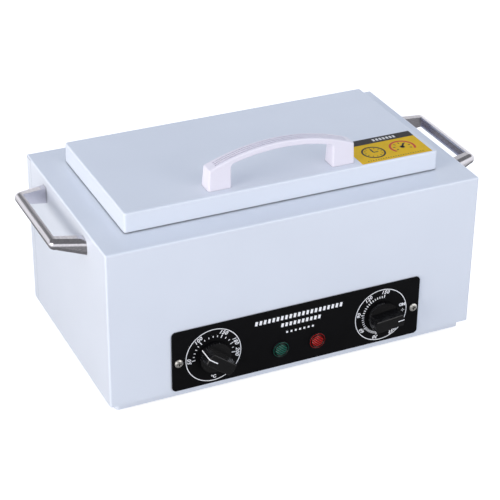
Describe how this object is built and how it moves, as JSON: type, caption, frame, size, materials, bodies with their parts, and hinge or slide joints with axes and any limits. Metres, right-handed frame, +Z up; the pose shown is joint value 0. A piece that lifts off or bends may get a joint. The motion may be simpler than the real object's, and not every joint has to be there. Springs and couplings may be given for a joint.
{
  "type": "dry heat sterilizer",
  "caption": "Bench-top dry heat sterilizer: white steel cabinet with a heated chamber under a hinged insulated lid, side carrying handles, and a black panel with temperature and timer knobs.",
  "frame": {"origin": "bottom centre of the whole object, on the surface its feet stand on", "axes": "+X to the right as seen from the front, +Y to the back, +Z up"},
  "size_m": [0.4316, 0.2374, 0.225],
  "materials": {
    "white_enamel": "semi-gloss baked enamel",
    "handle_plastic": "moulded, satin",
    "panel_black": "satin black",
    "knob_black": "moulded phenolic",
    "lamp_green": "ribbed lens",
    "lamp_red": "ribbed lens",
    "lamp_bezel": "moulded",
    "satin_nickel": "satin nickel plate",
    "screw_steel": "bright zinc plate",
    "hinge_steel": "nickel plate",
    "stainless": "drawn stainless steel",
    "galvanised": "galvanised sheet",
    "heater_aluminium": "rolled",
    "mineral_wool": "pressed fibre",
    "silicone": "moulded silicone",
    "foot_rubber": "moulded",
    "switch_plastic": "moulded phenolic",
    "inlet_plastic": "moulded",
    "block_plastic": "moulded",
    "contact_brass": "drawn",
    "copper": "drawn copper"
  },
  "bodies": {
    "cabinet": {"base_insulation": "mineral_wool", "base_pan": "white_enamel", "base_screws": "screw_steel", "bush_nuts": "screw_steel", "cabinet_shell": "white_enamel", "chamber": "stainless", "chamber_gasket": "silicone", "chamber_screws": "screw_steel", "control_panel": "panel_black", "cutout_screws": "screw_steel", "foot_nuts": "screw_steel", "foot_screws": "screw_steel", "green_lamp_body": "lamp_bezel", "green_lens": "lamp_green", "heat_shield": "galvanised", "heater_clamp": "galvanised", "heater_nuts": "screw_steel", "heater_plate": "heater_aluminium", "hinge_base_left": "hinge_steel", "hinge_base_right": "hinge_steel", "hinge_base_screws": "hinge_steel", "hinge_pins": "hinge_steel", "inlet_pins": "contact_brass", "inlet_screws": "screw_steel", "lamp_clips": "screw_steel", "left_handle_screws": "screw_steel", "mains_inlet": "inlet_plastic", "panel_screws": "screw_steel", "rear_cover": "white_enamel", "rear_cover_screws": "screw_steel", "red_lamp_body": "lamp_bezel", "red_lens": "lamp_red", "right_handle_screws": "screw_steel", "rubber_feet": "foot_rubber", "sensing_bulb": "copper", "side_handle_left": "satin_nickel", "side_handle_right": "satin_nickel", "side_insulation": "mineral_wool", "terminal_block": "block_plastic", "terminal_block_screws": "screw_steel", "thermal_cutout": "switch_plastic", "thermostat_body": "switch_plastic", "timer_body": "switch_plastic"},
    "lid": {"lid_shell": "white_enamel", "lid_liner": "stainless", "lid_insulation": "mineral_wool", "lid_handle": "handle_plastic", "lid_handle_screws": "screw_steel", "hinge_flap_left": "hinge_steel", "hinge_flap_right": "hinge_steel", "hinge_flap_screws": "hinge_steel"},
    "temperature_control": {"temperature_knob": "knob_black", "temperature_shaft": "screw_steel"},
    "timer_control": {"timer_knob": "knob_black", "timer_shaft": "screw_steel"},
    "tray": {"instrument_tray": "stainless"}
  },
  "joints": [
    {"name": "lid_open", "type": "hinge", "parent": "cabinet", "child": "lid", "pos_m": [0, 0.08985, 0.1731], "axis": [-1, 0, 0], "range_deg": [0, 100]},
    {"name": "temperature_turn", "type": "hinge", "parent": "cabinet", "child": "temperature_control", "pos_m": [-0.0853, -0.09975, 0.0448], "axis": [0, 1, 0], "range_deg": [-41, 148]},
    {"name": "timer_turn", "type": "hinge", "parent": "cabinet", "child": "timer_control", "pos_m": [0.0869, -0.09975, 0.0448], "axis": [0, 1, 0], "range_deg": [-8, 284]},
    {"name": "tray_lift", "type": "slide", "parent": "cabinet", "child": "tray", "axis": [0, 0, 1], "range_m": [0, 0.032]}
  ]
}
